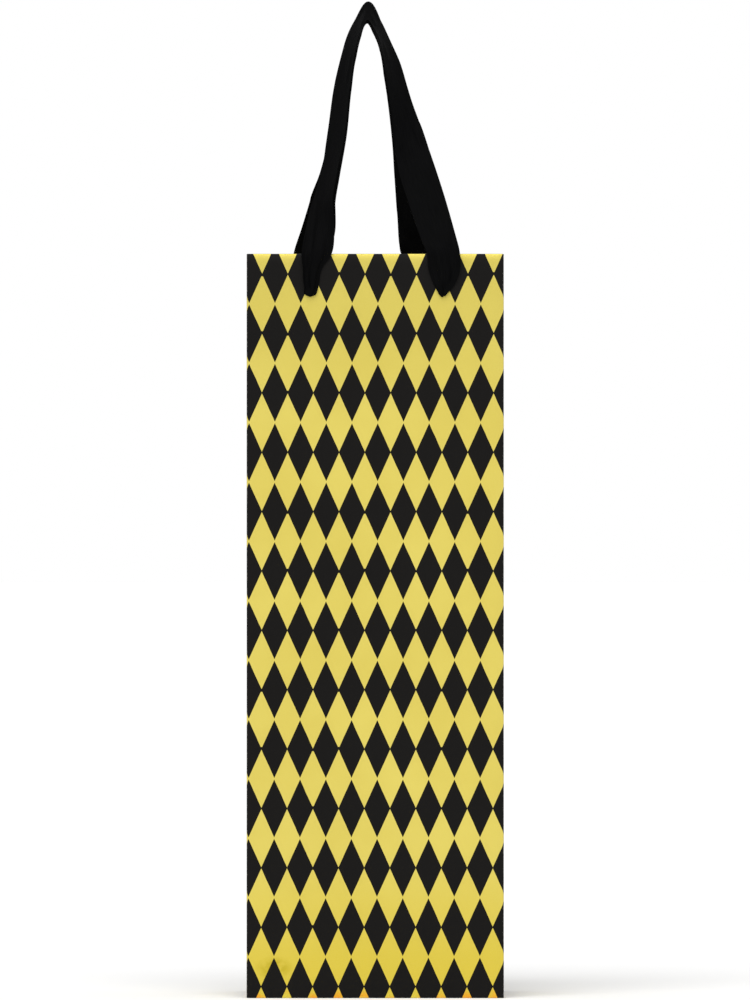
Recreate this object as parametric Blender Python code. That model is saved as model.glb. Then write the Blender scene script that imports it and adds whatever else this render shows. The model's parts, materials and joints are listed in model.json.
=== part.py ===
"""Gift bag for one wine bottle: folded printed paper, card stiffening and two ribbon handles.

Metres, +Z up.  The origin is the middle of the footprint, the front panel faces -Y, and the bag
stands open.  The paper is one sheet in life; it is built here as its crease-bounded panels.
"""
from math import cos, pi, sin, sqrt

import bmesh
import bpy
from mathutils import Vector

# ---------------------------------------------------------------- driving dimensions
BAG_WIDTH = 0.121
BAG_DEPTH = 0.090
BAG_HEIGHT = 0.350
PAPER = 0.0004              # thickness of the printed paper
GAP = 0.0003                # air left between two layers that touch in life
STIFFENER = 0.0006          # thickness of the board folded into the hem
BASE_CARD = 0.0010          # thickness of the loose card in the bottom
HEM_DEPTH = 0.040           # how far the mouth is folded over to the inside
SEAM_TAB_WIDTH = 0.015      # glued strip that closes the sheet into a tube
MOUTH_DRAW_IN = 0.010       # how far each side crease is pulled inwards at the mouth
DRAW_IN_POWER = 2           # the side creases bend in more and more towards the mouth
WALL_STEP = 0.010           # height of one course of the folded sides

HOLE_SPACING = 0.063        # between the two ribbon holes of one panel
HOLE_DROP = 0.0185          # ribbon holes below the mouth
HOLE_RADIUS = 0.0030
HOLE_SIDES = 24
HOLE_CUT_DEPTH = 0.008      # reaches through panel, stiffener and hem

RIBBON_WIDTH = 0.016
RIBBON_THICKNESS = 0.0008   # the satin ribbon with its soft pleats
RIBBON_STANDOFF = 0.0014    # middle of the ribbon in front of the panel it runs up
SWING_STANDOFF = 0.0025     # swing axis of a handle in front of the panel
APEX_FROM_MIDDLE = 0.0085   # how near the two raised loops come to the middle plane
APEX_HEIGHT = 0.4634        # middle of the ribbon at the top of a loop
TURN_IN_SHARE = 1 / 8       # share of the rise over which a ribbon turns out of the panel's plane
MOUTH_CLEARANCE = 0.001     # a handle stands straight up to this far above the mouth

NECK_RADIUS = 0.0023
NECK_PROUD = 0.0012         # gathered ribbon showing in front of its hole
NECK_TIP_SHARE = 0.75       # the neck's radius at its front end, against its full radius
KNOT_TIP_SHARE = 0.80       # the knot's radius at its far end, against the neck's
KNOT_RADIUS = 0.0055
KNOT_DEPTH = 0.0078
KNOT_SIDES = 16
KNOT_STEPS = 8              # rings along a knot
TAIL_LENGTH = 0.017
# A tail's rings: distance below the hole's middle, share of its splay and share of its width.
TAIL_RINGS = ((0.001, 0.0, 0.6), (0.008, 0.7, 1.0), (TAIL_LENGTH, 1.0, 1.0))
TAIL_WIDTH = 0.0048
TAIL_THICKNESS = 0.0008
TAIL_SPLAY = 0.0035         # sideways offset of a tail from its knot

FRONT_FLAP_REACH = 0.060    # bottom flaps, measured from the crease they hang on
BACK_FLAP_REACH = 0.060
SIDE_FLAP_REACH = 0.042
FLAP_CORNER_CUT = 0.006
CARD_SIDE_CLEARANCE = 0.0047
CARD_CORNER_CUT = 0.002

# ---------------------------------------------------------------- places that follow from them
HALF_WIDTH = BAG_WIDTH / 2
HALF_DEPTH = BAG_DEPTH / 2
HOLE_Z = BAG_HEIGHT - HOLE_DROP
HOLE_X = HOLE_SPACING / 2
STIFFENER_FACE = PAPER + GAP                          # depth of each layer behind the panel's face
HEM_FACE = STIFFENER_FACE + STIFFENER + GAP
HEM_BACK = HEM_FACE + PAPER
HEM_FOOT = BAG_HEIGHT - HEM_DEPTH
LAYER_STEP = PAPER + GAP

# A raised handle is a ribbon between an outer and an inner edge.  Each row is one place along it,
# from the left hole over the top to the right hole: the outer edge's x and z, the inner edge's
# x and z, all in millimetres.
FRONT_EDGES = (
    (-33.4, 334.8, -27.3, 334.8),
    (-34.0, 343.0, -25.0, 343.0),
    (-34.6, 351.0, -20.1, 351.0),
    (-32.0, 363.0, -19.2, 361.5),
    (-28.6, 376.5, -19.8, 374.5),
    (-24.6, 391.0, -17.6, 388.5),
    (-21.8, 410.0, -13.9, 408.0),
    (-19.0, 430.0, -11.9, 427.5),
    (-14.2, 450.0, -9.4, 445.0),
    (-9.7, 460.6, -6.7, 455.2),
    (-3.2, 470.0, -3.7, 460.8),
    (2.2, 461.2, -0.1, 455.4),
    (6.1, 453.0, 2.4, 449.0),
    (11.3, 441.3, 4.4, 437.5),
    (14.9, 429.3, 6.3, 425.5),
    (17.3, 421.5, 7.4, 417.5),
    (20.4, 413.0, 8.3, 409.0),
    (26.9, 395.0, 10.8, 390.5),
    (32.7, 377.0, 16.2, 372.5),
    (37.8, 358.8, 21.7, 356.5),
    (39.8, 350.5, 24.2, 350.5),
    (39.9, 343.0, 25.0, 343.0),
    (36.6, 334.8, 27.6, 334.8),
)
BACK_EDGES = (
    (-34.0, 334.8, -29.0, 334.8),
    (-37.4, 343.0, -25.8, 343.0),
    (-39.1, 351.0, -22.3, 351.0),
    (-34.8, 365.0, -19.1, 362.5),
    (-30.9, 378.5, -19.3, 375.5),
    (-26.0, 391.5, -17.3, 388.5),
    (-21.7, 410.0, -13.9, 408.0),
    (-19.0, 430.0, -11.9, 427.5),
    (-14.1, 449.5, -9.4, 444.5),
    (-9.4, 460.0, -6.9, 455.0),
    (-3.2, 469.2, -3.7, 460.8),
    (2.0, 460.6, -0.1, 455.0),
    (5.9, 452.0, 2.4, 448.2),
    (10.6, 440.3, 4.3, 437.0),
    (13.6, 428.5, 6.1, 425.5),
    (17.0, 412.5, 8.0, 409.0),
    (21.0, 394.5, 9.2, 391.5),
    (24.4, 374.5, 10.4, 373.0),
    (27.4, 358.5, 11.4, 356.5),
    (29.4, 350.5, 13.3, 350.5),
    (34.0, 342.5, 22.0, 342.5),
    (34.2, 334.8, 29.2, 334.8),
)
MILLIMETRE = 0.001


# ---------------------------------------------------------------- materials
def material(name, colour, roughness, metallic=0.0):
    """A Principled material in one plain colour."""
    found = bpy.data.materials.get(name)
    if found:
        return found
    made = bpy.data.materials.new(name)
    made.use_nodes = True
    shader = made.node_tree.nodes["Principled BSDF"]
    shader.inputs["Base Color"].default_value = (*colour, 1.0)
    shader.inputs["Roughness"].default_value = roughness
    shader.inputs["Metallic"].default_value = metallic
    made.diffuse_color = (*colour, 1.0)
    return made


def printed_paper():
    return material("printed_paper", (0.36, 0.30, 0.07), 0.42)


def stiffener_board():
    return material("stiffener_board", (0.42, 0.38, 0.31), 0.85)


def base_board():
    return material("base_board", (0.55, 0.52, 0.46), 0.80)


def satin_ribbon():
    return material("satin_ribbon", (0.006, 0.006, 0.007), 0.38)


# ---------------------------------------------------------------- helpers
def clear_scene():
    for old in list(bpy.data.objects):
        bpy.data.objects.remove(old, do_unlink=True)


def add_object(name, bm, finish, origin=(0.0, 0.0, 0.0)):
    """Turn a bmesh in world coordinates into an object whose origin is at the given place."""
    bmesh.ops.recalc_face_normals(bm, faces=bm.faces)
    bmesh.ops.translate(bm, verts=bm.verts, vec=-Vector(origin))
    mesh = bpy.data.meshes.new(name)
    bm.to_mesh(mesh)
    bm.free()
    mesh.materials.append(finish)
    made = bpy.data.objects.new(name, mesh)
    made.location = origin
    bpy.context.scene.collection.objects.link(made)
    return made


def add_guide(name, bm):
    """A shape that only cuts or joins another one."""
    made = add_object(name, bm, satin_ribbon())
    made.hide_render = True
    made.display_type = "WIRE"
    return made


def box_mesh(low, high):
    bm = bmesh.new()
    bmesh.ops.create_cube(bm, size=1.0)
    low, high = Vector(low), Vector(high)
    bmesh.ops.scale(bm, vec=high - low, verts=bm.verts)
    bmesh.ops.translate(bm, vec=(low + high) / 2, verts=bm.verts)
    return bm


def cut_corner_plate(outline, z_low, z_high):
    """A flat plate from its outline in plan."""
    bm = bmesh.new()
    base = bm.faces.new([bm.verts.new((x, y, z_low)) for x, y in outline])
    grown = bmesh.ops.extrude_face_region(bm, geom=[base])
    top = [item for item in grown["geom"] if isinstance(item, bmesh.types.BMVert)]
    bmesh.ops.translate(bm, vec=(0, 0, z_high - z_low), verts=top)
    return bm


def boolean(target, other, operation):
    step = target.modifiers.new(other.name, "BOOLEAN")
    step.operation = operation
    step.solver = "EXACT"
    step.object = other


def loft(rings):
    """Close a row of rings with the same number of corners into one capped body."""
    bm = bmesh.new()
    placed = [[bm.verts.new(corner) for corner in ring] for ring in rings]
    count = len(rings[0])
    for near, far in zip(placed, placed[1:]):
        for i in range(count):
            j = (i + 1) % count
            bm.faces.new((near[i], near[j], far[j], far[i]))
    bm.faces.new(placed[0])
    bm.faces.new(placed[-1])
    return bm


def evenly(first, last, steps):
    return [first + (last - first) * i / steps for i in range(steps + 1)]


# ---------------------------------------------------------------- front, back and what backs them
def hole_cutter(name, sign, x):
    """A pin through every layer of one panel at a ribbon hole."""
    bm = bmesh.new()
    bmesh.ops.create_cone(
        bm, cap_ends=True, segments=HOLE_SIDES, radius1=HOLE_RADIUS, radius2=HOLE_RADIUS, depth=HOLE_CUT_DEPTH
    )
    cutter = add_guide(name, bm)
    cutter.rotation_euler = (pi / 2, 0, 0)
    cutter.location = (x, sign * HALF_DEPTH, HOLE_Z)
    return cutter


def punched_layer(name, sign, face, thickness, half_width, z_low, z_high, cutters, finish):
    """A flat layer that lies FACE behind the outside of the front (sign -1) or back (+1)."""
    outer = sign * (HALF_DEPTH - face)
    inner = sign * (HALF_DEPTH - face - thickness)
    low = (-half_width, min(outer, inner), z_low)
    high = (half_width, max(outer, inner), z_high)
    layer = add_object(name, box_mesh(low, high), finish)
    for cutter in cutters:
        boolean(layer, cutter, "DIFFERENCE")
    return layer


def build_front_or_back(side, sign):
    """The printed panel, the stiffener behind it and the hem that hides the stiffener."""
    cutters = [hole_cutter(f"{side}_hole_{n}", sign, x) for n, x in (("left", -HOLE_X), ("right", HOLE_X))]
    inside = HALF_WIDTH - PAPER - 2 * GAP
    punched_layer(
        f"{side}_panel", sign, 0.0, PAPER, HALF_WIDTH, 0.0, BAG_HEIGHT, cutters, printed_paper()
    )
    punched_layer(
        f"{side}_stiffener", sign, STIFFENER_FACE, STIFFENER, inside,
        HEM_FOOT + GAP, BAG_HEIGHT - LAYER_STEP, cutters, stiffener_board(),
    )
    punched_layer(
        f"{side}_hem", sign, HEM_FACE, PAPER, inside, HEM_FOOT, BAG_HEIGHT, cutters, printed_paper()
    )


# ---------------------------------------------------------------- sides
def draw_in(y, z):
    """How far a side is pulled inwards: nothing at its corners, most on its middle crease."""
    rise = MOUTH_DRAW_IN * (z / BAG_HEIGHT) ** DRAW_IN_POWER
    return rise * (1 - abs(y) / HALF_DEPTH)


def side_wall(name, sign, face, y_places, z_low, z_high, finish):
    """A paper layer of the side at sign (-1 left, +1 right) that lies FACE behind its outside."""
    rings = []
    for z in evenly(z_low, z_high, round((z_high - z_low) / WALL_STEP)):
        outer = [(sign * (HALF_WIDTH - face - draw_in(y, z)), y, z) for y in y_places]
        inner = [(sign * (HALF_WIDTH - face - PAPER - draw_in(y, z)), y, z) for y in reversed(y_places)]
        rings.append(outer + inner)
    return add_object(name, loft(rings), finish)


def build_side(side, sign):
    """The gusset and its hem, each in two halves that meet at the middle crease."""
    corner = HALF_DEPTH - PAPER - GAP
    middle = GAP / 2
    end = HALF_DEPTH - HEM_BACK - GAP
    paper = printed_paper()
    for name, face, first, last, columns, foot in (
        ("gusset_front", 0.0, -corner, -middle, 3, 0.0),
        ("gusset_back", 0.0, middle, corner, 3, 0.0),
        ("hem_front", LAYER_STEP, -end, -middle, 3, HEM_FOOT),
        ("hem_back", LAYER_STEP, middle, end, 3, HEM_FOOT),
    ):
        side_wall(f"{side}_{name}", sign, face, evenly(first, last, columns), foot, BAG_HEIGHT, paper)


def build_seam_tab():
    """The strip that is glued inside the left rear corner."""
    far = HALF_DEPTH - PAPER - 2 * GAP
    low = 4 * LAYER_STEP + BASE_CARD
    columns = evenly(far - SEAM_TAB_WIDTH, far, 2)
    side_wall("side_seam_tab", -1, LAYER_STEP, columns, low, HEM_FOOT - GAP, printed_paper())


# ---------------------------------------------------------------- bottom
def build_bottom():
    """Four flaps in three layers, each cut back at the corners, and the loose card on them."""
    x_wall = HALF_WIDTH - PAPER - GAP
    y_wall = HALF_DEPTH - PAPER - GAP
    cut = FLAP_CORNER_CUT
    paper = printed_paper()
    for side, sign, layer, reach in (
        ("front", -1, 0, FRONT_FLAP_REACH),
        ("back", 1, 1, BACK_FLAP_REACH),
    ):
        near, far = sign * y_wall, sign * (y_wall - reach)
        outline = [(-x_wall, near), (x_wall, near), (x_wall - cut, far), (-x_wall + cut, far)]
        z = layer * LAYER_STEP
        add_object(f"bottom_flap_{side}", cut_corner_plate(outline, z, z + PAPER), paper)
    for side, sign in (("left", -1), ("right", 1)):
        near, far = sign * x_wall, sign * (x_wall - SIDE_FLAP_REACH)
        slant = SIDE_FLAP_REACH / 2
        outline = [(near, -y_wall), (far, -y_wall + slant), (far, y_wall - slant), (near, y_wall)]
        z = 2 * LAYER_STEP
        add_object(f"bottom_flap_{side}", cut_corner_plate(outline, z, z + PAPER), paper)

    x, y = HALF_WIDTH - CARD_SIDE_CLEARANCE, HALF_DEPTH - HEM_BACK - 2 * GAP
    flat_x, flat_y = x - CARD_CORNER_CUT, y - CARD_CORNER_CUT
    half = [(flat_x, -y), (x, -flat_y), (x, flat_y), (flat_x, y)]
    outline = half + [(-px, -py) for px, py in half]
    z = 3 * LAYER_STEP
    add_object("base_card", cut_corner_plate(outline, z, z + BASE_CARD), base_board(), (0, 0, z))


# ---------------------------------------------------------------- ribbons
def knot_profile():
    """Radius of the gathered neck and knot against the distance inwards from the panel's face."""
    front = HEM_BACK + GAP
    middle = front + KNOT_DEPTH / 2
    tip = NECK_RADIUS * NECK_TIP_SHARE
    profile = [(-NECK_PROUD, tip), (-NECK_PROUD / 2, NECK_RADIUS), (front, NECK_RADIUS)]
    for step in range(1, KNOT_STEPS):
        turn = pi * step / KNOT_STEPS
        bulge = (KNOT_RADIUS - NECK_RADIUS) * sin(turn)
        profile.append((middle - KNOT_DEPTH / 2 * cos(turn), NECK_RADIUS + bulge))
    profile.append((front + KNOT_DEPTH, NECK_RADIUS * KNOT_TIP_SHARE))
    return profile


def knot_body(sign, x):
    rings = []
    turns = [2 * pi * i / KNOT_SIDES for i in range(KNOT_SIDES)]
    for inwards, radius in knot_profile():
        y = sign * (HALF_DEPTH - inwards)
        rings.append([(x + radius * cos(a), y, HOLE_Z + radius * sin(a)) for a in turns])
    return loft(rings)


def tail_body(sign, x, lean):
    """One cut end of the ribbon, hanging from its knot down the inside of the hem."""
    width, thick = TAIL_WIDTH / 2, TAIL_THICKNESS / 2
    y = sign * (HALF_DEPTH - HEM_BACK - 2 * GAP - thick)
    rings = []
    for drop, shift, trim in TAIL_RINGS:
        z = HOLE_Z - drop
        middle, half = x + lean * shift * TAIL_SPLAY, width * trim
        rings.append([
            (middle - half, y - thick, z), (middle + half, y - thick, z),
            (middle + half, y + thick, z), (middle - half, y + thick, z),
        ])
    return loft(rings)


def build_knot(side, sign, hand, x):
    """The ribbon's gathered neck in its hole, with the knot behind the hem and its cut end."""
    knot = add_object(f"{side}_{hand}_knot", knot_body(sign, x), satin_ribbon())
    lean = 1 if x < 0 else -1
    boolean(knot, add_guide(f"{side}_{hand}_tail", tail_body(sign, x, lean)), "UNION")


def build_handle(name, sign, edges):
    """The raised loop of one ribbon, from just above one hole to just above the other."""
    panel_y = HALF_DEPTH + RIBBON_STANDOFF
    mouth = BAG_HEIGHT + MOUTH_CLEARANCE
    outers, inners = [], []
    for x_out, z_out, x_in, z_in in edges:
        outer = Vector((x_out * MILLIMETRE, 0, z_out * MILLIMETRE))
        inner = Vector((x_in * MILLIMETRE, 0, z_in * MILLIMETRE))
        z = (outer.z + inner.z) / 2
        rise = max(0.0, (z - mouth) / (APEX_HEIGHT - mouth))
        y = panel_y + (APEX_FROM_MIDDLE - panel_y) * rise
        shown = (outer - inner).length
        turn_in = min(1.0, rise / TURN_IN_SHARE)
        half_y = turn_in * sqrt(max(0.0, RIBBON_WIDTH ** 2 - shown ** 2)) / 2
        outer.y, inner.y = sign * (y - half_y), sign * (y + half_y)
        outers.append(outer)
        inners.append(inner)
    rings = []
    last = len(outers) - 1
    for i, (outer, inner) in enumerate(zip(outers, inners)):
        a, b = max(i - 1, 0), min(i + 1, last)
        along = (outers[b] + inners[b]) - (outers[a] + inners[a])
        normal = along.cross(outer - inner).normalized() * (RIBBON_THICKNESS / 2)
        rings.append([outer + normal, inner + normal, inner - normal, outer - normal])
    axis = (0, sign * (HALF_DEPTH + SWING_STANDOFF), HOLE_Z)
    add_object(name, loft(rings), satin_ribbon(), axis)


# ---------------------------------------------------------------- assembly
def build_bag():
    clear_scene()
    for side, sign in (("front", -1), ("back", 1)):
        build_front_or_back(side, sign)
        build_knot(side, sign, "left", -HOLE_X)
        build_knot(side, sign, "right", HOLE_X)
    for side, sign in (("left", -1), ("right", 1)):
        build_side(side, sign)
    build_seam_tab()
    build_bottom()
    build_handle("front_handle", -1, FRONT_EDGES)
    build_handle("back_handle", 1, BACK_EDGES)


build_bag()
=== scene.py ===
"""Looks of the wine gift bag: a folded paper shell, its bottom flaps, knots and satin ribbon handles."""
import json
from math import cos, pi, radians, sin, sqrt

import bmesh
import bpy
from mathutils import Matrix, Vector
from mathutils.noise import noise


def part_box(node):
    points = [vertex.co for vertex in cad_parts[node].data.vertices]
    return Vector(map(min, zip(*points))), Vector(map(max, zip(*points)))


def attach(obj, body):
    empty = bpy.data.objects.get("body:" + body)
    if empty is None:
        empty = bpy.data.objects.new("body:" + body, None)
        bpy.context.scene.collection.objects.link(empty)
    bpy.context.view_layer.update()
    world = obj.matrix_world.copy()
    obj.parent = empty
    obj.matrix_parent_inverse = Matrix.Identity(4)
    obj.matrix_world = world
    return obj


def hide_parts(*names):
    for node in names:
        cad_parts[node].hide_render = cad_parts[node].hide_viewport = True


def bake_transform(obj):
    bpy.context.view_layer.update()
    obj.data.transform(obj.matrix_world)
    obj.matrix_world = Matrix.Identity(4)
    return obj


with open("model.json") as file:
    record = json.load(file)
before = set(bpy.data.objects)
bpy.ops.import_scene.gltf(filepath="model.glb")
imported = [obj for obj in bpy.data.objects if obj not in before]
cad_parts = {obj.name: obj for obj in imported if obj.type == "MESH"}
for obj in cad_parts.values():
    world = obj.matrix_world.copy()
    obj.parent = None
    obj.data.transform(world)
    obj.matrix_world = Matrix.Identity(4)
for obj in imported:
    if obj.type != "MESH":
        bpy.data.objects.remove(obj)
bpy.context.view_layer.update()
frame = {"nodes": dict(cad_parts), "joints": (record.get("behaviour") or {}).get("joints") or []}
MM = 0.001

# ---------------------------------------------------------------- sizes of the paper
# The boxes come from the frame.  Sizes given in MM are the visual model's own.
panel_low, panel_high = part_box("front_panel")
hem_low, hem_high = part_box("front_hem")
side_hem_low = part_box("right_hem_front")[0]
tab_low, tab_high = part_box("side_seam_tab")
HALF_W = panel_high.x
HALF_D = -panel_low.y
HEIGHT = panel_high.z
GIRTH = 4 * (HALF_W + HALF_D)
PAPER = panel_high.y - panel_low.y
HEM_Z = hem_low.z
HEM_GAP = 0.3 * MM                             # between a side and its hem
FRONT_FOLD = hem_high.y - panel_low.y          # panel, stiffener and hem together
SIDE_FOLD = 2 * PAPER + HEM_GAP                # side and hem, with nothing between them
HOLE_X, HOLE_Z = 31.5 * MM, frame["joints"][0]["pos_m"][2]
PUNCH_RADIUS, PUNCH_LIFT = 2.0 * MM, 0.6 * MM  # a punched hole, and its height above the hinge
MOUTH_DRAW_IN = HALF_W - SIDE_FOLD - side_hem_low.x    # side creases pulled inwards at the mouth
DRAW_IN_POWER = 2                              # the pull grows with this power of the height
FOLD_RADIUS, TIGHTEST_FOLD = 0.7 * MM, 0.15 * MM       # outside of a corner, and its tightest layer
MOUTH_FOLD_RISE = 0.45 * MM                    # height of the rounding where the mouth is turned in
MOUTH_FOLD_PAPER = 2.2 * MM                    # paper that goes into that turn
MOUTH_CREASE = HEIGHT - MOUTH_FOLD_RISE + MOUTH_FOLD_PAPER / 2
FOOT_STIFF = 30 * MM                           # the bottom crease stiffens the walls up to here
STIFF_FROM = HEM_Z - 40 * MM                   # and the folded mouth does from here on

# Places of the upright creases, measured round the bag from the middle of the front.  The first and
# the last corner are the left rear one, where the sheet meets itself.
CORNERS = (-HALF_W - 2 * HALF_D, -HALF_W, HALF_W, HALF_W + 2 * HALF_D, 3 * HALF_W + 2 * HALF_D)
SIDE_MIDDLES = (-HALF_W - HALF_D, HALF_W + HALF_D)

# ---------------------------------------------------------------- sizes of the print
DIAMOND_WIDE, DIAMOND_TALL = 12.1 * MM, 27.92 * MM     # from one foil diamond to the next
DIAMOND_X, DIAMOND_Z = -53.67 * MM, 19.35 * MM         # middle of the first one
FOIL_HALF_W, FOIL_HALF_H = 6.2 * MM, 13.7 * MM         # half of one: they touch sideways, not upwards
FOIL_EDGE = 0.008                              # softness of a diamond's edge, as a share of its half
FULL_TIP, SHORT_TIP = 0.492, 0.462             # how far foil goes up or down from a middle, in rows
FULL_TIP_SHARE = 0.72                          # share of the diamonds that keep their whole tips
PRINT_SKEW = 0.0015                            # sideways run of the print for each unit of height
PRINT_WOBBLE = 0.11 * MM                       # the print's edges wander by this much at most
WEAR_WIDTH = 0.55 * MM                         # rubbed strip on each side of a crease
PAINTED_REFLECTION_TALL = 5.5 * MM                          # painted orange reflection along the foot
OLIVE_PATCH_X, OLIVE_PATCH_Z = -47.5 * MM, 14.0 * MM     # middle of a darker olive patch
OLIVE_PATCH_SQUASH = 1.6                            # it is this much wider than tall
OLIVE_PATCH_CORE, OLIVE_PATCH_REACH = 3.0 * MM, 10.5 * MM        # full up to one, gone from the other

# ---------------------------------------------------------------- sizes of the ribbons
RIBBON, RIBBON_THICK = 16 * MM, 0.28 * MM
THREAD, PICK = 0.22 * MM, 0.45 * MM            # spacing of the threads along it and of those across
MOUTH_Z, PEAK_Z = 351 * MM, 463.4 * MM         # a handle leans inwards between these heights
FACE_GAP = 1.4 * MM                            # how far off the paper it stands below the mouth
FACE_Y, APEX_Y = HALF_D + FACE_GAP, 8.5 * MM   # its place there, and at the top of the loop
KNUCKLE = 0.55 * MM                            # how far a gathered ribbon bulges where it turns in
GATHER_DEPTH = 0.8 * MM                        # depth of its folds at most
GATHER_FLAT = 0.14                             # share of that depth left where it is pressed flat
CURL, SWAY = 0.55 * MM, 0.25 * MM              # its edges curl, and it sways to and fro


# ---------------------------------------------------------------- node helpers
class Nodes:
    """Short calls that add shader nodes to one material."""

    def __init__(self, name):
        self.material = bpy.data.materials.new(name)
        self.material.use_nodes = True
        self.tree = self.material.node_tree
        self.shader = self.tree.nodes["Principled BSDF"]

    def put(self, socket, value):
        if isinstance(value, bpy.types.NodeSocket):
            self.tree.links.new(value, socket)
        else:
            socket.default_value = value

    def add(self, kind, inputs=(), **settings):
        node = self.tree.nodes.new(kind)
        for key, value in settings.items():
            setattr(node, key, value)
        for key, value in dict(inputs).items():
            self.put(node.inputs[key], value)
        return node

    def math(self, operation, a, b=0.0, c=0.0):
        return self.add("ShaderNodeMath", {0: a, 1: b, 2: c}, operation=operation).outputs[0]

    def ramp(self, value, low, high, to_low=0.0, to_high=1.0):
        """A smooth step from one value to another."""
        inputs = {0: value, 1: low, 2: high, 3: to_low, 4: to_high}
        return self.add("ShaderNodeMapRange", inputs, interpolation_type="SMOOTHSTEP").outputs[0]

    def noise(self, where, scale, detail=2.0, roughness=0.5):
        inputs = {"Vector": where, "Scale": scale, "Detail": detail, "Roughness": roughness}
        return self.add("ShaderNodeTexNoise", inputs).outputs[0]

    def mix(self, share, a, b):
        inputs = {0: share, 6: a, 7: b}
        return self.add("ShaderNodeMix", inputs, data_type="RGBA").outputs[2]

    def tint(self, colour, share, strength, towards):
        """Move a colour towards another one."""
        return self.mix(self.math("MULTIPLY", share, strength), colour, towards)

    def gap(self, value, line):
        """Distance between a value and a line."""
        return self.math("ABSOLUTE", self.math("SUBTRACT", value, line))

    def split(self, vector):
        """The first two coordinates of a vector."""
        outputs = self.add("ShaderNodeSeparateXYZ", {0: vector}).outputs
        return outputs[0], outputs[1]

    def stretch(self, where, scale):
        return self.add("ShaderNodeVectorMath", {0: where, 1: scale}, operation="MULTIPLY").outputs[0]

    def distance(self, where, point):
        inputs = {0: where, 1: point}
        return self.add("ShaderNodeVectorMath", inputs, operation="DISTANCE").outputs["Value"]

    def uv(self):
        return self.add("ShaderNodeUVMap", uv_map="Metres").outputs[0]

    def place(self):
        return self.add("ShaderNodeTexCoord").outputs["Object"]

    def bump(self, height, distance, strength=1.0, below=None):
        inputs = {"Height": height, "Distance": distance, "Strength": strength}
        if below is not None:
            inputs["Normal"] = below
        return self.add("ShaderNodeBump", inputs).outputs[0]

    def set(self, **values):
        for key, value in values.items():
            self.put(self.shader.inputs[key.replace("_", " ")], value)


def rgb(r, g, b):
    return (r, g, b, 1.0)


# ---------------------------------------------------------------- materials
GOLD, GOLD_PALE = rgb(0.650, 0.525, 0.086), rgb(0.705, 0.585, 0.112)
REFLECTED_GOLD_LOW, GOLD_HIGH = rgb(0.640, 0.490, 0.024), rgb(0.600, 0.495, 0.086)
GLINT, REFLECTED_ORANGE, OLIVE = rgb(0.75, 0.66, 0.24), rgb(0.82, 0.30, 0.010), rgb(0.47, 0.36, 0.014)
INK, INK_PALE = rgb(0.0036, 0.0030, 0.0026), rgb(0.0056, 0.0050, 0.0044)
RUBBED = rgb(0.42, 0.39, 0.33)


def foil_net(n, uv, u, v):
    """1 on the foil diamonds and 0 on the black between them."""
    wobble = n.math("MULTIPLY_ADD", n.noise(uv, 160.0), 2 * PRINT_WOBBLE, -PRINT_WOBBLE)
    start = n.math("MULTIPLY_ADD", v, PRINT_SKEW, DIAMOND_X)
    columns = n.math("DIVIDE", n.math("ADD", n.math("SUBTRACT", u, start), wobble), DIAMOND_WIDE)
    rows = n.math("DIVIDE", n.math("ADD", n.math("SUBTRACT", v, DIAMOND_Z), wobble), DIAMOND_TALL)
    columns, rows = n.math("ADD", columns, 0.5), n.math("ADD", rows, 0.5)
    across, upward = n.gap(n.math("FRACT", columns), 0.5), n.gap(n.math("FRACT", rows), 0.5)
    sideways = n.math("DIVIDE", across, FOIL_HALF_W / DIAMOND_WIDE)
    reach = n.math("ADD", sideways, n.math("DIVIDE", upward, FOIL_HALF_H / DIAMOND_TALL))
    inside = n.ramp(reach, 1 - FOIL_EDGE, 1 + FOIL_EDGE, 1.0, 0.0)
    cell = n.add("ShaderNodeCombineXYZ", {0: n.math("FLOOR", columns), 1: n.math("FLOOR", rows)}).outputs[0]
    chance = n.add("ShaderNodeTexWhiteNoise", {0: cell}, noise_dimensions="3D").outputs[0]
    tip = n.ramp(chance, FULL_TIP_SHARE, 1.0, FULL_TIP, SHORT_TIP)
    return n.math("MULTIPLY", inside, n.math("LESS_THAN", upward, tip))


def crease_wear(n, uv, u, v):
    """How far the print is rubbed off, in specks along the creases."""
    crease = n.math("MINIMUM", n.math("ABSOLUTE", v), n.gap(v, MOUTH_CREASE))
    for line in CORNERS + SIDE_MIDDLES:
        crease = n.math("MINIMUM", crease, n.gap(u, line))
    scuff = n.noise(uv, 900.0, 3.0, 0.7)
    return n.math("MULTIPLY", n.ramp(crease, 0.0, WEAR_WIDTH, 1.0, 0.0), n.ramp(scuff, 0.46, 0.66))


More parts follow.
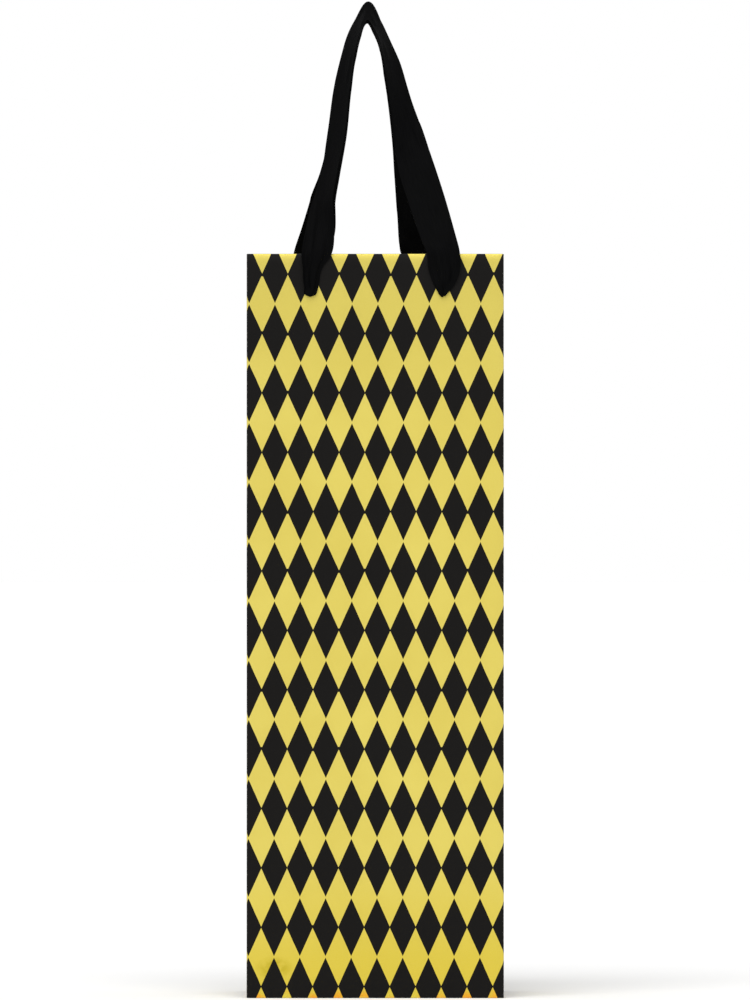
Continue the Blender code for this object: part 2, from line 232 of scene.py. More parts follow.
def foil_colour(n, uv, v, cloud, speckle):
    """Gold foil: painted warm reflection low down, duller high up, painted orange reflection in places
    along the foot, and one darker olive patch.
    """
    # Painted warm reflection of the floor, strongest at the foot and gone 75 mm up.
    painted_low_reflection = n.ramp(v, 0.0, 75 * MM, 1.0, 0.0)
    high_up = n.ramp(v, 250 * MM, HEIGHT)
    gold = n.mix(n.ramp(cloud, 0.3, 0.7), GOLD, GOLD_PALE)
    gold = n.tint(gold, painted_low_reflection, 0.88, REFLECTED_GOLD_LOW)
    gold = n.tint(gold, high_up, 0.80, GOLD_HIGH)
    gold = n.tint(gold, speckle, 0.24, GLINT)
    # Painted orange reflection of the floor, in patches along the foot.
    reflection_patches = n.ramp(n.noise(uv, 130.0, 1.0), 0.42, 0.58)
    painted_orange_reflection = n.math("MULTIPLY", n.ramp(v, 0.0, PAINTED_REFLECTION_TALL, 1.0, 0.0), reflection_patches)
    gold = n.tint(gold, painted_orange_reflection, 0.75, REFLECTED_ORANGE)
    # A darker olive patch near the lower left, broken into streaks.
    middle = (OLIVE_PATCH_X, OLIVE_PATCH_Z * OLIVE_PATCH_SQUASH, 0.0)
    from_olive_patch = n.distance(n.stretch(uv, (1.0, OLIVE_PATCH_SQUASH, 0.0)), middle)
    streaks = n.ramp(n.noise(uv, 260.0), 0.18, 0.66)
    olive_patch = n.math("MULTIPLY", n.ramp(from_olive_patch, OLIVE_PATCH_CORE, OLIVE_PATCH_REACH, 1.0, 0.0), streaks)
    return n.tint(gold, olive_patch, 0.78, OLIVE)


def printed_paper():
    """Smooth black paper with a net of gold foil diamonds, rubbed along its creases."""
    n = Nodes("printed_paper")
    uv = n.uv()
    u, v = n.split(uv)
    cloud = n.noise(uv, 14.0, 3.0, 0.6)
    speckle = n.noise(uv, 1900.0, 2.0, 0.6)
    foil = foil_net(n, uv, u, v)
    colour = n.mix(foil, n.mix(cloud, INK, INK_PALE), foil_colour(n, uv, v, cloud, speckle))
    colour = n.tint(colour, crease_wear(n, uv, u, v), 0.35, RUBBED)
    fibre = n.noise(n.stretch(uv, (1.0, 0.55, 1.0)), 2600.0, 2.0, 0.6)
    grain = n.bump(fibre, 0.03 * MM, 0.6)
    n.set(
        Base_Color=colour,
        Metallic=n.math("MULTIPLY", foil, 0.45),
        Roughness=n.math("ADD", n.math("MULTIPLY", speckle, 0.12), n.ramp(foil, 0.0, 1.0, 0.40, 0.30)),
        Specular_IOR_Level=0.10,
        Normal=n.bump(foil, 0.02 * MM, 0.5, grain),
    )
    return n.material


def plain_paper():
    """The unprinted white side, faintly mottled, with fibres."""
    n = Nodes("plain_paper")
    uv = n.uv()
    mottle = n.noise(uv, 45.0, 4.0, 0.6)
    fibre = n.noise(n.stretch(uv, (1.0, 0.25, 1.0)), 3200.0, 3.0, 0.65)
    colour = n.mix(mottle, rgb(0.66, 0.645, 0.60), rgb(0.74, 0.73, 0.695))
    colour = n.tint(colour, n.ramp(fibre, 0.35, 0.75), 0.25, rgb(0.56, 0.54, 0.49))
    n.set(Base_Color=colour, Roughness=0.88, Specular_IOR_Level=0.2, Normal=n.bump(fibre, 0.05 * MM, 0.5))
    return n.material


def board(name, dark, light, flecks):
    """Pressed pulp board: cloudy, flecked and matt."""
    n = Nodes(name)
    where = n.place()
    mottle = n.noise(where, 60.0, 4.0, 0.6)
    fleck = n.ramp(n.noise(where, 1500.0, 2.0, 0.7), 0.60, 0.72)
    fibre = n.noise(n.stretch(where, (0.3, 1.0, 1.0)), 2400.0, 3.0, 0.65)
    colour = n.tint(n.mix(mottle, dark, light), fleck, 0.55, flecks)
    n.set(Base_Color=colour, Roughness=0.90, Specular_IOR_Level=0.2, Normal=n.bump(fibre, 0.08 * MM, 0.6))
    return n.material


def satin():
    """Black satin ribbon: fine threads along it, a corded selvedge at each edge."""
    n = Nodes("satin_ribbon")
    uv = n.uv()
    u, v = n.split(uv)
    from_edge = n.math("SUBTRACT", RIBBON / 2, n.math("ABSOLUTE", u))
    selvedge = n.ramp(from_edge, 0.6 * MM, 1.0 * MM, 1.0, 0.0)
    threads = n.math("SINE", n.math("MULTIPLY", u, 2 * pi / THREAD))
    picks = n.math("SINE", n.math("MULTIPLY", v, 2 * pi / PICK))
    slub = n.noise(n.stretch(uv, (1.0, 0.05, 1.0)), 2400.0, 2.0, 0.6)
    weave = n.math("ADD", n.math("MULTIPLY", threads, 0.35), n.math("MULTIPLY", slub, 0.9))
    corded = n.math("MULTIPLY", picks, selvedge)
    height = n.math("ADD", weave, corded)
    shade = n.mix(slub, rgb(0.0014, 0.0014, 0.0015), rgb(0.0048, 0.0048, 0.0050))
    n.set(
        Base_Color=shade,
        Roughness=n.math("MULTIPLY_ADD", slub, 0.16, 0.40),
        Specular_IOR_Level=0.006,
        Anisotropic=0.5,
        Normal=n.bump(height, 0.03 * MM, 0.6),
    )
    return n.material


# ---------------------------------------------------------------- mesh helpers
def finish_piece(name, bm, materials, body, sharp=32):
    """Make the object, shade it smooth with crisp folds, and let it ride on its body."""
    mesh = bpy.data.meshes.new(name)
    bm.to_mesh(mesh)
    bm.free()
    for item in materials:
        mesh.materials.append(item)
    mesh.shade_smooth()
    mesh.set_sharp_from_angle(angle=radians(sharp))
    made = bpy.data.objects.new(name, mesh)
    bpy.context.scene.collection.objects.link(made)
    if body:
        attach(made, body)
    return made


def grid_faces(bm, layer, rows, uvs, closed_rows, closed_columns, slots=None):
    """Quads between rows of vertices.  uvs holds one (u, v) for each row and column, and a last
    column for where the row closes."""
    count = len(rows[0])
    ring = len(rows) if closed_rows else len(rows) - 1
    for i in range(ring):
        k = (i + 1) % len(rows)
        for j in range(count if closed_columns else count - 1):
            m = (j + 1) % count
            face = bm.faces.new((rows[i][j], rows[i][m], rows[k][m], rows[k][j]))
            if slots:
                face.material_index = slots[i]
            corners = (uvs[i][j], uvs[i][j + 1], uvs[k][j + 1], uvs[k][j])
            for loop, at in zip(face.loops, corners):
                loop[layer].uv = at


def tube(name, rings, material, body, sharp=32):
    """A closed body through rings of (point, uv) pairs, with both ends capped."""
    bm = bmesh.new()
    layer = bm.loops.layers.uv.new("Metres")
    rows = [[bm.verts.new(point) for point, _ in ring] for ring in rings]
    uvs = [[at for _, at in ring] + [ring[0][1]] for ring in rings]
    grid_faces(bm, layer, rows, uvs, False, True)
    bm.faces.new(rows[0])
    bm.faces.new(rows[-1])
    bmesh.ops.recalc_face_normals(bm, faces=bm.faces)
    return finish_piece(name, bm, [material], body, sharp)


# ---------------------------------------------------------------- the folded paper
def smooth(t):
    t = min(1.0, max(0.0, t))
    return t * t * (3 - 2 * t)


def draw_in(y, z):
    """How far a side is pulled inwards, as the CAD sides are."""
    return MOUTH_DRAW_IN * (z / HEIGHT) ** DRAW_IN_POWER * (1 - min(1.0, abs(y) / HALF_D))


def hush(z):
    """1 on the free walls, 0 at the bottom crease and over the stiffened mouth."""
    return smooth(z / FOOT_STIFF) * (1 - smooth((z - STIFF_FROM) / (35 * MM)))


def panel_bow(x, z, seed):
    """Gentle dish and ripple of the front or back, outwards positive."""
    across = cos(pi * x / (2 * HALF_W)) ** 1.3 if abs(x) < HALF_W else 0.0
    dish = -0.7 * MM * sin(pi * z / HEIGHT)
    ripple = 0.35 * MM * noise(Vector((x * 22, z * 14, seed)))
    soft = 0.15 * MM * noise(Vector((x * 60, z * 45, seed + 5)))
    return across * hush(z) * (dish + ripple + soft)


def side_bow(y, z, seed):
    """Inward hollow of a gusset half between its corner and its crease, outwards positive."""
    half = abs(y) / HALF_D
    hollow = -0.45 * MM * sin(pi * min(1.0, half))
    ripple = 0.25 * MM * noise(Vector((y * 30, z * 16, seed)))
    fade = smooth(z / FOOT_STIFF) * (1 - 0.5 * smooth((z - STIFF_FROM) / (40 * MM)))
    return fade * (hollow + ripple * sin(pi * min(1.0, half)))


def crease_dent(distance, depth=0.16 * MM, width=0.9 * MM):
    """Depth of a pressed crease at a distance from its line."""
    return -depth * max(0.0, 1 - abs(distance) / width) ** 2


def pressed_creases(side, a, z):
    """Creases left from shipping flat: across the back at half the depth, diagonals on the sides."""
    if side == "back":
        return crease_dent(z - HALF_D)
    dent, diagonal = 0.0, 0.707                # distance to a diagonal crease, for each unit of height
    if side in ("left", "right") and z < HALF_D:
        dent = crease_dent((z - (HALF_D - abs(a))) * diagonal)
    if side in ("left", "right") and a > 0:
        dent = min(dent, crease_dent(z - HALF_D))
    return dent


FRONT_STEPS, SIDE_STEPS, CORNER_STEPS = 44, 14, 4      # along the front, half a side and a corner


def outline(offset_side, offset_front, radius):
    """Round the bag in plan, from the left rear corner over the front: x, y, the running length u,
    the side's name and the place along that side."""
    hx, hy = HALF_W - offset_side, HALF_D - offset_front
    flat_x, flat_y = hx - radius, hy - radius
    reach_x, reach_y = HALF_W - FOLD_RADIUS, HALF_D - FOLD_RADIUS
    points = []

    def run(side, steps, place, u_middle, reach):
        for i in range(steps + 1):
            t = -1 + 2 * i / steps
            x, y, along = place(t)
            points.append((x, y, u_middle + t * reach, side, along))

    def corner(sign_x, sign_y, start, u_middle):
        for i in range(1, CORNER_STEPS):
            t = i / CORNER_STEPS
            a = start + t * pi / 2
            x, y = sign_x * flat_x + radius * cos(a), sign_y * flat_y + radius * sin(a)
            points.append((x, y, u_middle + (t - 0.5) * 2 * FOLD_RADIUS, None, 0))

    run("left", 2 * SIDE_STEPS, lambda t: (-hx, -t * flat_y, -t * flat_y), SIDE_MIDDLES[0], reach_y)
    corner(-1, -1, pi, CORNERS[1])
    run("front", FRONT_STEPS, lambda t: (t * flat_x, -hy, t * flat_x), 0.0, reach_x)
    corner(1, -1, 1.5 * pi, CORNERS[2])
    run("right", 2 * SIDE_STEPS, lambda t: (hx, t * flat_y, t * flat_y), SIDE_MIDDLES[1], reach_y)
    corner(1, 1, 0, CORNERS[3])
    run("back", FRONT_STEPS, lambda t: (-t * flat_x, hy, -t * flat_x), GIRTH / 2, reach_x)
    corner(-1, 1, pi / 2, CORNERS[4])
    return points


OUTWARD = {"left": (-1, 0), "right": (1, 0), "front": (0, -1), "back": (0, 1)}
SEEDS = {"left": 3.1, "right": 7.7, "front": 1.3, "back": 11.9}


def shaped(point, z):
    """A point of the outline at a height, with the walls' natural bow and creases."""
    x, y, u, side, along = point
    if side is None:
        return Vector((x, y, z))
    if side in ("left", "right"):
        out = side_bow(along, z, SEEDS[side]) - draw_in(along, z)
    else:
        out = panel_bow(along, z, SEEDS[side])
    out += pressed_creases(side, along, z)
    dx, dy = OUTWARD[side]
    return Vector((x + dx * out, y + dy * out, z))


def shell_profile():
    """The paper's section from the bottom lip up the outside, over the mouth, down the hem and back
    up inside the fold: side offset, front offset, height, print height and material."""
    lip, top = 0.45 * MM, HEIGHT - MOUTH_FOLD_RISE
    fine_top = HALF_D + 7 * MM                 # the rows lie closer up to here, over the bottom creases
    inner_flat, inner_top = HEIGHT - 0.7 * MM, HEIGHT - 0.4 * MM
    inner_side, inner_front = SIDE_FOLD - PAPER, FRONT_FOLD - PAPER
    lip_steps, fine_steps, wall_steps, fold_steps, hem_steps = 4, 22, 62, 8, 10
    rows = []
    for i in range(lip_steps):
        a = pi / 2 * (1 - i / lip_steps)
        inwards, up = lip * (1 - cos(a)), lip * (1 - sin(a))
        rows.append((inwards, inwards, up, up, 0))
    heights = [lip + (fine_top - lip) * i / fine_steps for i in range(fine_steps + 1)]
    heights += [fine_top + (top - fine_top) * i / wall_steps for i in range(1, wall_steps + 1)]
    rows += [(0, 0, z, z, 0) for z in heights]
    for i in range(1, fold_steps):
        t = pi * i / fold_steps
        share = (1 - cos(t)) / 2
        print_z = top + share * MOUTH_FOLD_PAPER
        rows.append((SIDE_FOLD * share, FRONT_FOLD * share, top + MOUTH_FOLD_RISE * sin(t), print_z, 0))
    for i in range(hem_steps + 1):
        z = top + (HEM_Z - top) * i / hem_steps
        print_z = 2 * top + MOUTH_FOLD_PAPER - z
        rows.append((SIDE_FOLD, FRONT_FOLD, z, print_z, 0 if i < hem_steps else 1))
    for i in range(hem_steps + 1):
        z = HEM_Z + (inner_flat - HEM_Z) * i / hem_steps
        rows.append((inner_side, inner_front, z, z, 1))
    rows.append(((inner_side + PAPER) / 2, (inner_front + PAPER) / 2, inner_top, HEIGHT, 1))
    rows += [(PAPER, PAPER, z, z, 1) for z in [inner_flat, *reversed(heights[:-1])]]
    rows.append((PAPER * 1.6, PAPER * 1.6, PAPER, PAPER, 1))
    rows.append((lip, lip, PAPER, PAPER, 1))
    return rows


def bag_shell(printed, plain):
    """The whole outside of the bag as one sheet with thickness, its mouth folded to the inside."""
    bm = bmesh.new()
    layer = bm.loops.layers.uv.new("Metres")
    rows, uvs, slots = [], [], []
    for side_off, front_off, z, print_z, slot in shell_profile():
        radius = max(FOLD_RADIUS - max(side_off, front_off), TIGHTEST_FOLD)
        ring = outline(side_off, front_off, radius)
        rows.append([bm.verts.new(shaped(p, z)) for p in ring])
        uvs.append([(p[2], print_z) for p in ring] + [(ring[0][2] + GIRTH, print_z)])
        slots.append(slot)
    grid_faces(bm, layer, rows, uvs, True, True, slots)
    bmesh.ops.recalc_face_normals(bm, faces=bm.faces)
    shell = finish_piece("bag_shell", bm, [printed, plain], None, 40)
    punch(shell)
    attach(shell, "bag")
    halves = [f"{kind}_{half}" for kind in ("gusset", "hem") for half in ("front", "back")]
    sides = [f"{side}_{half}" for side in ("left", "right") for half in halves]
    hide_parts("front_panel", "back_panel", "front_hem", "back_hem", *sides)


def punch(shell):
    """Cut the four ribbon holes through every layer."""
    bm = bmesh.new()
    size = {"radius1": PUNCH_RADIUS, "radius2": PUNCH_RADIUS, "depth": 8 * MM}
    facing_front = Matrix.Rotation(pi / 2, 3, "X")
    for x in (-HOLE_X, HOLE_X):
        for y in (-HALF_D, HALF_D):
            pin = bmesh.ops.create_cone(bm, cap_ends=True, segments=28, **size)["verts"]
            bmesh.ops.rotate(bm, verts=pin, cent=(0, 0, 0), matrix=facing_front)
            bmesh.ops.translate(bm, verts=pin, vec=(x, y, HOLE_Z + PUNCH_LIFT))
    mesh = bpy.data.meshes.new("punch")
    bm.to_mesh(mesh)
    bm.free()
    tool = bpy.data.objects.new("punch", mesh)
    bpy.context.scene.collection.objects.link(tool)
    cut = shell.modifiers.new("holes", "BOOLEAN")
    cut.operation, cut.solver, cut.object = "DIFFERENCE", "EXACT", tool
    bpy.context.view_layer.update()
    done = bpy.data.meshes.new_from_object(shell.evaluated_get(bpy.context.evaluated_depsgraph_get()))
    shell.modifiers.clear()
    shell.data = done
    bpy.data.objects.remove(tool)


def seam_tab(plain):
    """The glued strip inside the left rear corner, running the height of the bag."""
    columns, steps, glue = 6, 60, 0.12 * MM
    width, height = tab_high.y - tab_low.y, tab_high.z - tab_low.z
    outer = [(PAPER + glue, tab_low.y + width * j / columns) for j in range(columns + 1)]
    inner = [(2 * PAPER + glue, y) for _, y in reversed(outer)]
    rings = []
    for i in range(steps + 1):
        z = tab_low.z + height * i / steps
        rings.append([(shaped((-(HALF_W - off), y, 0, "left", y), z), (y, z)) for off, y in outer + inner])
    tab = tube("seam_tab_paper", rings, plain, "bag")
    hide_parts("side_seam_tab")


FLAP_INSET, FLAP_END_GAP = 0.75 * MM, 0.85 * MM        # from a flap's crease and ends to the walls
FLAP_SLANT, FLAP_LIFT = 6 * MM, 0.1 * MM       # slant of the large flaps' ends, lift of a free edge


def bottom_flap(side, sign, along_y, printed, plain):
    """One bottom flap: a thin sheet from just inside its crease, with a slightly lifted free edge."""
    node = f"bottom_flap_{side}"
    low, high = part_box(node)
    wall = (HALF_D if along_y else HALF_W) - FLAP_INSET
    end = (HALF_W if along_y else HALF_D) - FLAP_END_GAP
    reach = (high.y - low.y) if along_y else (high.x - low.x)
    slant = FLAP_SLANT if along_y else reach / 2
    steps, columns = 24, 32
    bm = bmesh.new()
    layer = bm.loops.layers.uv.new("Metres")
    rims = []
    for face in (0, 1):                        # the printed underside, then the plain top
        rows, uvs = [], []
        for i in range(steps + 1):
            t = i / steps
            out, half = wall - reach * t, end - slant * t
            row, row_uv = [], []
            for j in range(columns + 1):
                s = -1 + 2 * j / columns
                lift = FLAP_LIFT * t * (0.5 + 0.5 * noise(Vector((s * 3, t * 2, sign * 4 + 9 * along_y))))
                z = low.z + face * PAPER + max(0.0, lift)
                x, y = (s * half, sign * out) if along_y else (sign * out, s * half)
                row.append(bm.verts.new((x, y, z)))
                row_uv.append((x, -reach * t))
            rows.append(row)
            uvs.append(row_uv)
        grid_faces(bm, layer, rows, uvs, False, False, [face] * len(rows))
        rims.append(rows[0] + [r[-1] for r in rows[1:]] + rows[-1][-2::-1] + [r[0] for r in rows[-2:0:-1]])
    under, over = rims
    for k in range(len(under)):
        m = (k + 1) % len(under)
        bm.faces.new((under[k], under[m], over[m], over[k])).material_index = 1
    bmesh.ops.recalc_face_normals(bm, faces=bm.faces)
    flap = finish_piece(f"{node}_paper", bm, [printed, plain], "bag")
    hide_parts(node)


# ---------------------------------------------------------------- ribbons
# Outer edge x and z, inner edge x and z, in millimetres, from the left hole over the top to the right.
FRONT_EDGES = (
    (-33.3, 333.9, -26.8, 334.2),
    (-33.8, 337.5, -26.2, 337.5),
    (-34.0, 343.0, -25.0, 343.0),
    (-34.6, 351.0, -20.1, 351.0),
    (-32.0, 363.0, -19.2, 361.5),
    (-28.6, 376.5, -19.8, 374.5),
    (-24.6, 391.0, -17.6, 388.5),
    (-21.8, 410.0, -13.9, 408.0),
    (-19.0, 430.0, -11.9, 427.5),
    (-14.2, 450.0, -9.4, 445.0),
    (-9.7, 460.6, -6.7, 455.2),
    (-3.2, 470.0, -3.7, 460.8),
    (2.2, 461.2, -0.1, 455.4),
    (6.1, 453.0, 2.4, 449.0),
    (11.3, 441.3, 4.4, 437.5),
    (14.9, 429.3, 6.3, 425.5),
    (17.3, 421.5, 7.4, 417.5),
    (20.4, 413.0, 8.3, 409.0),
    (26.9, 395.0, 10.8, 390.5),
    (32.7, 377.0, 16.2, 372.5),
    (37.8, 358.8, 21.7, 356.5),
    (39.8, 350.5, 24.2, 350.5),
    (39.9, 343.0, 25.0, 343.0),
    (38.2, 337.2, 26.7, 337.5),
    (35.9, 333.4, 28.2, 334.2),
)
BACK_EDGES = (
    (-34.0, 333.5, -29.0, 333.5),
    (-35.6, 337.5, -27.6, 337.5),
    (-37.4, 343.0, -25.8, 343.0),
    (-39.1, 351.0, -22.3, 351.0),
    (-34.8, 365.0, -19.1, 362.5),
    (-30.9, 378.5, -19.3, 375.5),
    (-26.0, 391.5, -17.3, 388.5),
    (-21.7, 410.0, -13.9, 408.0),
    (-19.0, 430.0, -11.9, 427.5),
    (-14.1, 449.5, -9.4, 444.5),
    (-9.4, 460.0, -6.9, 455.0),
    (-3.2, 469.2, -3.7, 460.8),
    (2.0, 460.6, -0.1, 455.0),
    (5.9, 452.0, 2.4, 448.2),
    (10.6, 440.3, 4.3, 437.0),
    (13.6, 428.5, 6.1, 425.5),
    (17.0, 412.5, 8.0, 409.0),
    (21.0, 394.5, 9.2, 391.5),
    (24.4, 374.5, 10.4, 373.0),
    (27.4, 358.5, 11.4, 356.5),
    (29.4, 350.5, 13.3, 350.5),
    (34.0, 343.0, 21.0, 343.0),
    (35.6, 337.5, 27.0, 337.5),
    (34.2, 333.5, 29.0, 333.5),
)
# Where a gathered ribbon dips into its hole: how far its outer and its inner edge lie outwards of the
# hole's middle, their height above it and how far they stand out from the paper, in millimetres.
LOBE = ((1.7, -4.0, 0.1, 1.5), (1.0, -3.1, -1.0, 0.9), (1.0, -1.5, -0.6, -0.6), (1.2, -1.3, 0.1, -2.6))
POINT = ((2.2, -1.5, -0.4, 1.4), (1.4, -1.0, -1.2, 0.7), (1.2, -1.2, -0.6, -0.6), (1.3, -1.3, 0.1, -2.6))


def spline(points, t):
    """A smooth curve through the points; t counts points."""
    last = len(points) - 1
    i = min(int(t), last - 1)
    f = t - i
    p0, p1 = points[max(i - 1, 0)], points[i]
    p2, p3 = points[i + 1], points[min(i + 2, last)]
    slope, bend, twist = p2 - p0, 2 * p0 - 5 * p1 + 4 * p2 - p3, 3 * p1 - p0 - 3 * p2 + p3
    return 0.5 * (2 * p1 + slope * f + bend * f * f + twist * f ** 3)


def ribbon_edges(edges, sign, left_gather, right_gather):
    """Both edges of a raised ribbon in space, from inside one hole to inside the other."""
    outers, inners = [], []
    for x_out, z_out, x_in, z_in in edges:
        outer, inner = Vector((x_out * MM, 0, z_out * MM)), Vector((x_in * MM, 0, z_in * MM))
        z = (outer.z + inner.z) / 2
        rise = max(0.0, (z - MOUTH_Z) / (PEAK_Z - MOUTH_Z))
        y = FACE_Y + (APEX_Y - FACE_Y) * rise
        half_y = min(1.0, rise * 8) * sqrt(max(0.0, RIBBON ** 2 - (outer - inner).length ** 2)) / 2
        outer.y, inner.y = sign * (y - half_y), sign * (y + half_y)
        outers.append(outer)
        inners.append(inner)
    for x_out, x_in, z, y in left_gather:
        place = sign * (HALF_D + y * MM)
        outers.insert(0, Vector((-HOLE_X - x_out * MM, place, HOLE_Z + z * MM)))
        inners.insert(0, Vector((-HOLE_X - x_in * MM, place, HOLE_Z + z * MM)))
    for x_out, x_in, z, y in right_gather:
        place = sign * (HALF_D + y * MM)
        outers.append(Vector((HOLE_X + x_out * MM, place, HOLE_Z + z * MM)))
        inners.append(Vector((HOLE_X + x_in * MM, place, HOLE_Z + z * MM)))
    return outers, inners


def ribbon_handle(side, sign, edges, left_gather, right_gather, finish):
    """One ribbon: flat where it is free, pleated where it is gathered into its holes."""
    outers, inners = ribbon_edges(edges, sign, left_gather, right_gather)
    per_station, columns, folds = 9, 30, 3
    dip, opening, easing = 2.0, 2.5, 2.0       # stations in the hole, to open out and to lose the bulge
    count = (len(outers) - 1) * per_station
    sides = [(spline(outers, i / per_station), spline(inners, i / per_station)) for i in range(count + 1)]
    middle = [(outer + inner) / 2 for outer, inner in sides]
    rings, length = [], 0.0
    for i, (outer, inner) in enumerate(sides):
        along = (middle[min(i + 1, count)] - middle[max(i - 1, 0)]).normalized()
        normal = along.cross(outer - inner).normalized()
        if i:
            length += (middle[i] - middle[i - 1]).length
        shown = (outer - inner).length
        from_dip = min(i, count - i) / per_station - dip
        pressed = GATHER_FLAT + (1 - GATHER_FLAT) * smooth(from_dip / opening)
        spare = sqrt(max(0.0, RIBBON ** 2 - shown ** 2))
        depth = pressed * min(GATHER_DEPTH, spare / (2 * folds))
        bulge = KNUCKLE * (1 - smooth(from_dip / easing))
        curl = CURL * min(1.0, shown / RIBBON) ** 4
        sway = SWAY * noise(Vector((i * 0.045, 3.3 * sign, 0.5)))
        ring = []
        for face in (0, 1):
            for j in range(columns + 1):
                s = -1 + 2 * (j if face == 0 else columns - j) / columns
                phase = 0.6 * noise(Vector((s * 1.5, i * 0.05, sign * 2.0)))
                rise = depth * cos(folds * pi * (s + phase) / 2 + 0.7) + curl * (s * s - 0.4)
                rise += bulge * (1 - s * s)
                rise += sway * sin(pi * s) + (0.5 - face) * RIBBON_THICK
                ring.append((inner.lerp(outer, (s + 1) / 2) + normal * rise, (s * RIBBON / 2, length)))
        rings.append(ring)
    ribbon = tube(f"{side}_handle_ribbon", rings, finish, None, 60)
    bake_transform(ribbon)
    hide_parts(f"{side}_handle")


# The middle line of a knot and its end, in millimetres from the hinge and the inside of the hem:
# towards the middle of the bag, into it and up.
KNOT_PATH = (
    (0.0, -1.6, 0.2), (0.3, 0.6, 0.2), (3.2, 2.0, 2.4), (1.2, 4.6, 3.9), (-3.1, 4.4, 1.6),
    (-2.6, 2.2, -2.6), (1.8, 2.2, -3.4), (3.6, 4.8, -0.8), (0.6, 6.2, 1.4), (-2.4, 4.6, -0.6),
    (-1.2, 2.0, -3.6), (0.6, 1.0, -8.0), (1.9, 0.9, -12.5), (2.9, 1.0, -17.0),
)
CORD_HALF_W, CORD_HALF_T = 1.9 * MM, 1.25 * MM         # the ribbon crumpled in the knot
END_HALF_W, END_HALF_T = 4.5 * MM, 0.22 * MM           # and opened out in its cut end
CORD_SHARE, OPENING_SHARE = 0.72, 0.2          # of the knot's length: still a cord, and opening out
CUT_SLANT, CUT_SHARE = 1.3 * MM, 0.03          # slant of the cut, over this last share of the length


def knot(side, sign, hand, x, finish):
    """An overhand knot pulled tight behind the hem, with one slant-cut end hanging down."""
    lean = 1 if x < 0 else -1
    wall = HALF_D - FRONT_FOLD
    path = [
        Vector((x + lean * px * MM, sign * (wall - py * MM), HOLE_Z + pz * MM)) for px, py, pz in KNOT_PATH
    ]
    per, sides = 8, 22
    count = (len(path) - 1) * per
    centre = [spline(path, i / per) for i in range(count + 1)]
    rings, length, across = [], 0.0, Vector((1, 0, 0))
    for i, at in enumerate(centre):
        along = (centre[min(i + 1, count)] - centre[max(i - 1, 0)]).normalized()
        across = (across - along * across.dot(along)).normalized()
        if i:
            length += (at - centre[i - 1]).length
        tail = smooth((i / count - CORD_SHARE) / OPENING_SHARE)
        wide = CORD_HALF_W + (END_HALF_W - CORD_HALF_W) * tail
        thick = CORD_HALF_T * (1 - tail) + END_HALF_T * tail
        flat_across = Vector((1, 0, 0)) - along * along.x
        facing = across.lerp(flat_across.normalized(), tail).normalized()
        up = along.cross(facing).normalized()
        cut = CUT_SLANT * smooth((i / count - (1 - CUT_SHARE)) / CUT_SHARE)
        ring = []
        for j in range(sides):
            a = 2 * pi * j / sides
            fold = 1 + 0.10 * (1 - tail) * cos(5 * a + i * 0.05)
            point = at + facing * wide * cos(a) * fold + up * thick * sin(a) * fold + along * (cut * cos(a))
            ring.append((point, (RIBBON / 2 * cos(a), length)))
        rings.append(ring)
    piece = tube(f"{side}_{hand}_knot_ribbon", rings, finish, "bag", 60)
    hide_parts(f"{side}_{hand}_knot")


# ---------------------------------------------------------------- CAD nodes that stay
def dress(node, finish):
    """Give a CAD node its finish and slightly softened edges."""
    piece = frame["nodes"][node]
    piece.data.materials.clear()
    piece.data.materials.append(finish)
    edge = piece.modifiers.new("soft_edges", "BEVEL")
    edge.width, edge.segments, edge.limit_method = 0.15 * MM, 2, "ANGLE"


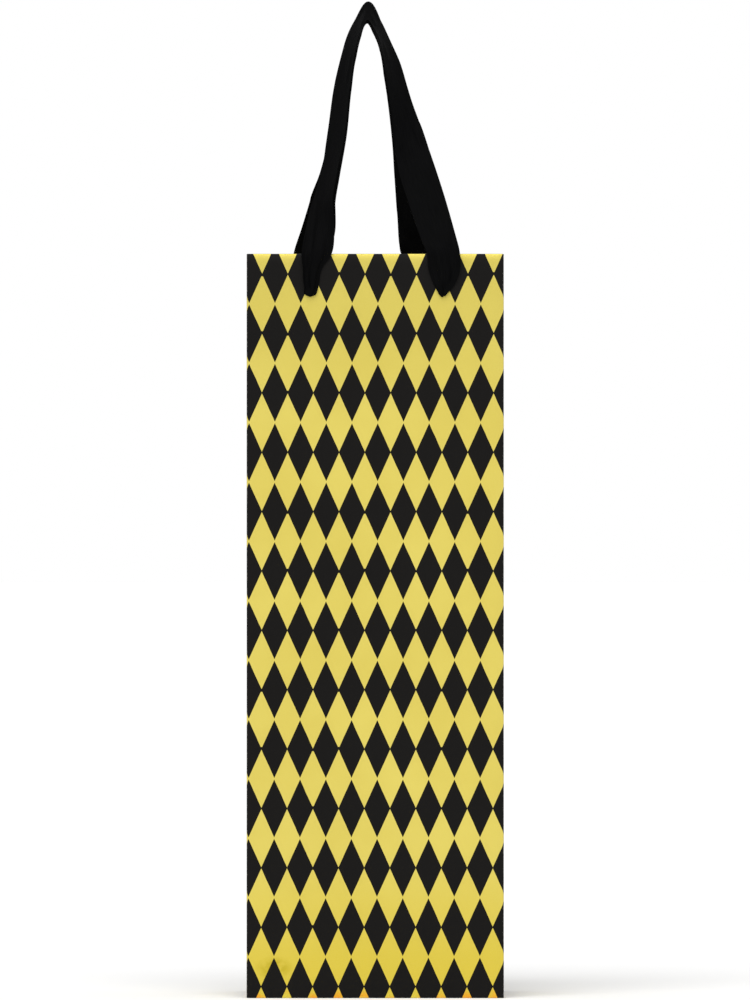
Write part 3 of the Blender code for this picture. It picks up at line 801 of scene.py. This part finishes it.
# ---------------------------------------------------------------- stage, light and camera
def studio():
    """A plain pale floor under a soft high sun from the front, and a white surround.  The surround
    lights the bag more dimly than the camera sees it, so that the sides are a shade darker."""
    world = bpy.data.worlds.new("studio")
    bpy.context.scene.world = world
    world.use_nodes = True
    tree = world.node_tree
    around = tree.nodes["Background"]
    around.inputs["Color"].default_value = (1.0, 1.0, 1.0, 1.0)
    around.inputs["Strength"].default_value = 0.60
    seen = tree.nodes.new("ShaderNodeBackground")
    seen.inputs["Strength"].default_value = 1.0
    seen.inputs["Color"].default_value = (1.0, 1.0, 1.0, 1.0)
    ray = tree.nodes.new("ShaderNodeLightPath")
    choice = tree.nodes.new("ShaderNodeMixShader")
    tree.links.new(ray.outputs["Is Camera Ray"], choice.inputs[0])
    tree.links.new(around.outputs[0], choice.inputs[1])
    tree.links.new(seen.outputs[0], choice.inputs[2])
    tree.links.new(choice.outputs[0], tree.nodes["World Output"].inputs["Surface"])

    bm = bmesh.new()
    bmesh.ops.create_grid(bm, x_segments=2, y_segments=2, size=30.0)
    floor = finish_piece("floor", bm, [], None)
    floor.location.z = -0.05 * MM              # just under the paper
    paint = Nodes("floor_paper")
    cloud = paint.noise(paint.place(), 3.0, 2.0)
    paint.set(Base_Color=paint.mix(cloud, rgb(0.92, 0.92, 0.92), rgb(0.94, 0.94, 0.94)), Roughness=0.9)
    paint.set(Specular_IOR_Level=0.1)
    floor.data.materials.append(paint.material)

    sun = bpy.data.lights.new("sun", "SUN")
    sun.energy, sun.angle = 2.3, radians(50)
    lamp = bpy.data.objects.new("sun", sun)
    lamp.rotation_euler = Vector((0.10, 0.64, -0.80)).to_track_quat("-Z", "Y").to_euler()
    bpy.context.scene.collection.objects.link(lamp)


def camera():
    """Level and square to the front, from far enough that nothing tapers."""
    distance, shown_height, middle_x, middle_z = 6.0, 470.24 * MM, -0.1 * MM, 234.2 * MM
    lens = bpy.data.cameras.new("camera")
    lens.sensor_width = 36.0
    lens.lens = lens.sensor_width * distance / shown_height
    lens.clip_end = 50.0
    eye = bpy.data.objects.new("camera", lens)
    eye.location = (middle_x, -HALF_D - distance, middle_z)
    eye.rotation_euler = (pi / 2, 0, 0)
    bpy.context.scene.collection.objects.link(eye)
    bpy.context.scene.camera = eye
    bpy.context.scene.view_settings.view_transform = "Standard"


# ---------------------------------------------------------------- build
studio()
camera()
printed, plain, black_satin = printed_paper(), plain_paper(), satin()
bag_shell(printed, plain)
seam_tab(plain)
for side, sign in (("front", -1), ("back", 1)):
    bottom_flap(side, sign, True, printed, plain)
for side, sign in (("left", -1), ("right", 1)):
    bottom_flap(side, sign, False, printed, plain)
for side, sign, edges, left_gather in (("front", -1, FRONT_EDGES, LOBE), ("back", 1, BACK_EDGES, POINT)):
    ribbon_handle(side, sign, edges, left_gather, POINT, black_satin)
    for hand, x in (("left", -HOLE_X), ("right", HOLE_X)):
        knot(side, sign, hand, x, black_satin)
grey_board = board("stiffener_board", rgb(0.30, 0.27, 0.22), rgb(0.40, 0.37, 0.31), rgb(0.20, 0.17, 0.13))
white_board = board("base_board", rgb(0.50, 0.48, 0.43), rgb(0.60, 0.58, 0.53), rgb(0.36, 0.33, 0.28))
dress("front_stiffener", grey_board)
dress("back_stiffener", grey_board)
dress("base_card", white_board)
